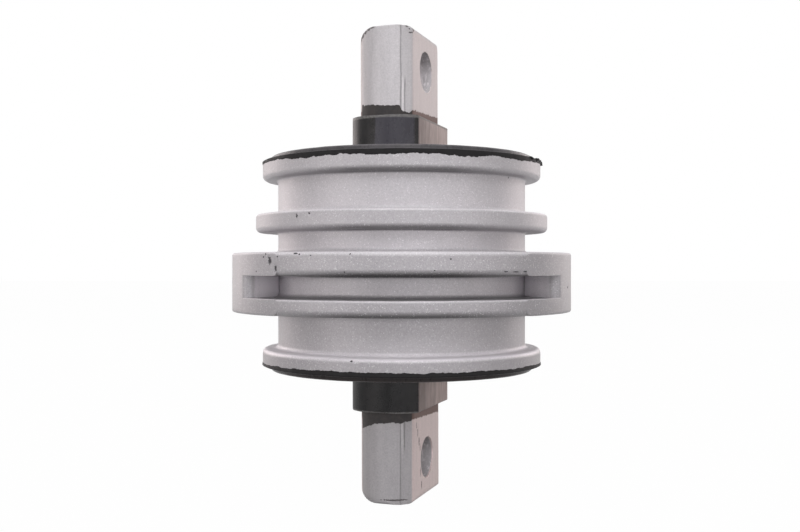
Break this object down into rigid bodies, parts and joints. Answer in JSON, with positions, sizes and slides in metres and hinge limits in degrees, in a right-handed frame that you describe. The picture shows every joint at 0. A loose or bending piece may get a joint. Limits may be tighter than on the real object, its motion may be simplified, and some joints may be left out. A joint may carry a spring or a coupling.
{
  "type": "transmission mount",
  "caption": "Rubber-bonded transmission mount: flanged round casting with slotted ears, rubber core and a flat steel bar with a cross hole at each end.",
  "frame": {"origin": "middle of the bar, which is the centre of the whole part's box", "axes": "+Z along the mount's axis towards the end with the thin flange, X through the two cast ears, Y towards the back of the pictured view"},
  "size_m": [0.1404, 0.1404, 0.191],
  "materials": {
    "casting_paint": "satin",
    "bar_paint": "satin",
    "black_rubber": "satin"
  },
  "bodies": {
    "root": {"casting": "casting_paint", "rubber": "black_rubber", "bar": "bar_paint"}
  },
  "joints": []
}
